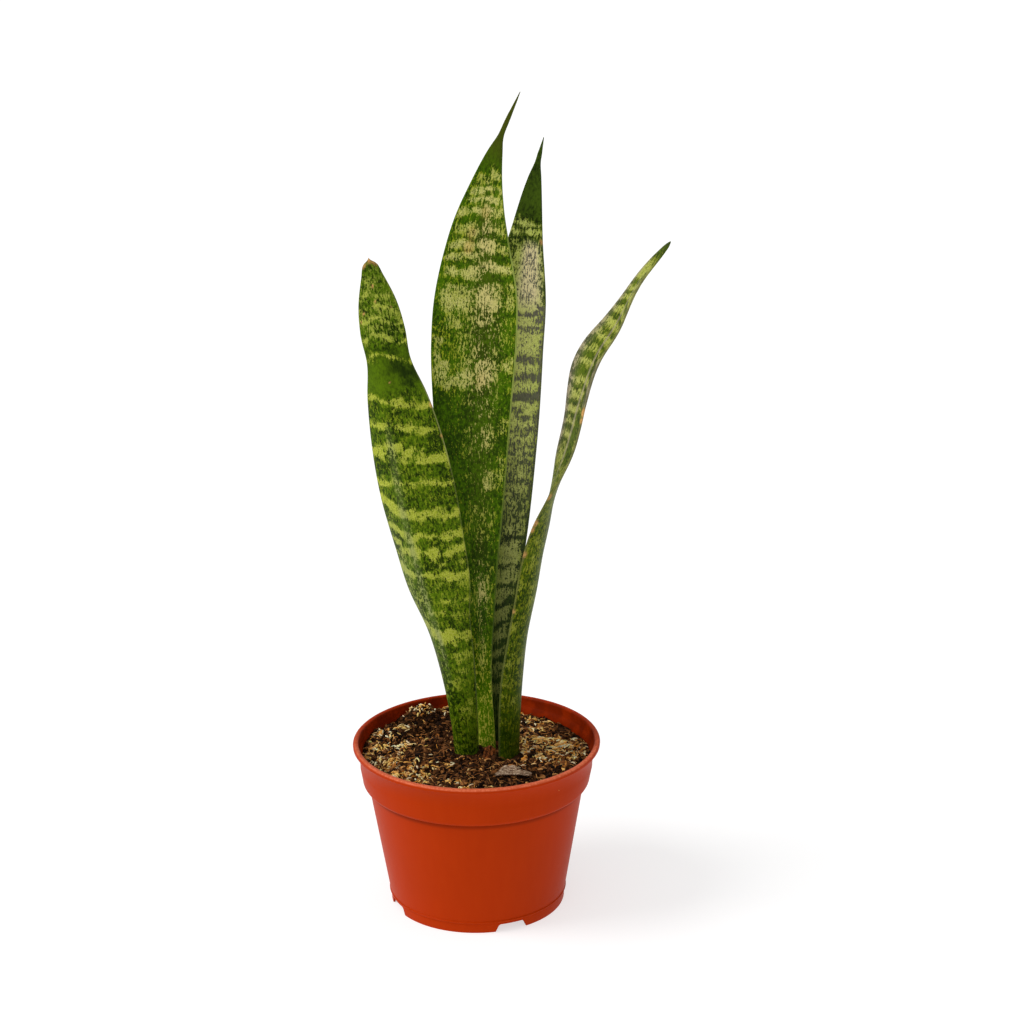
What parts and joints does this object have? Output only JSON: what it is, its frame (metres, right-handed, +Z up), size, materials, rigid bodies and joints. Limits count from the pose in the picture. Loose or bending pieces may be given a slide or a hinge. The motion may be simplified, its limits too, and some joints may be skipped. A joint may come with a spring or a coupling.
{
  "type": "potted snake plant",
  "caption": "Upright banded sword-shaped leaves in a round terracotta-coloured nursery pot filled with bark potting mix.",
  "frame": {"origin": "on the ground, under the middle of the whole plant's bounding box", "axes": "+Z up along the pot's axis, -Y to the plant's front as pictured, +X to its right"},
  "size_m": [0.136, 0.1074, 0.3552],
  "materials": {
    "pot_plastic": "satin moulded, terracotta orange",
    "potting_mix": "rough dark peat with chips of golden bark and white perlite",
    "rhizome": "dull straw-coloured skin",
    "leaf": "waxy green with pale cross bands",
    "dry_scale": "dry papery brown",
    "grey_bark": "rough grey"
  },
  "bodies": {
    "root": {"pot": "pot_plastic", "soil": "potting_mix", "rhizome": "rhizome", "leaf_left": "leaf", "leaf_tall": "leaf", "leaf_rear": "leaf", "leaf_right": "leaf", "crown_scale": "dry_scale", "bark_flake": "grey_bark"}
  },
  "joints": []
}
